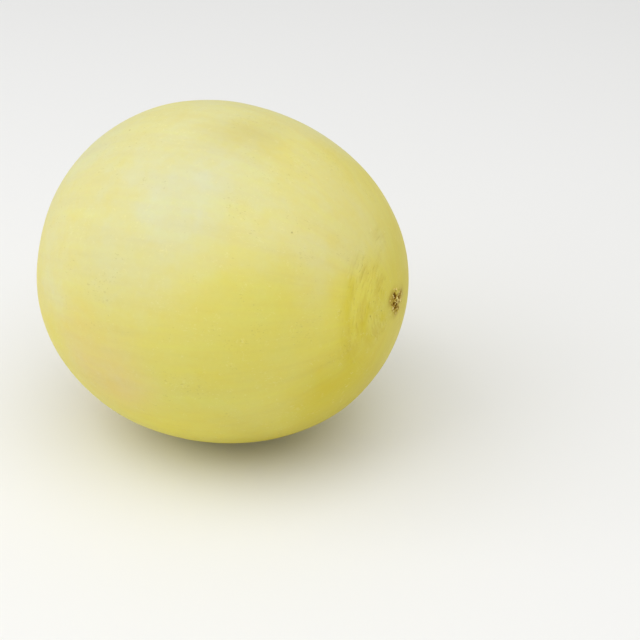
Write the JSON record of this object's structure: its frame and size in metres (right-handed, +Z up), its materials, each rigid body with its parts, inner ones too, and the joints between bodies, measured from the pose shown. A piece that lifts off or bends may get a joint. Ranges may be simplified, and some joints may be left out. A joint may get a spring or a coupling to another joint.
{
  "type": "honeydew melon",
  "caption": "Whole smooth-skinned oval melon lying on its side, with a corky blossom scar at one end and a shallow stem scar at the other.",
  "frame": {"origin": "on the surface that the melon rests on, under the middle of its box", "axes": "+Z up, +X along the body towards the blossom end, so the stem end is at -X"},
  "size_m": [0.1734, 0.1602, 0.1582],
  "materials": {
    "rind": "waxy satin rind, pale yellow-green"
  },
  "bodies": {
    "root": {"melon": "rind"}
  },
  "joints": []
}
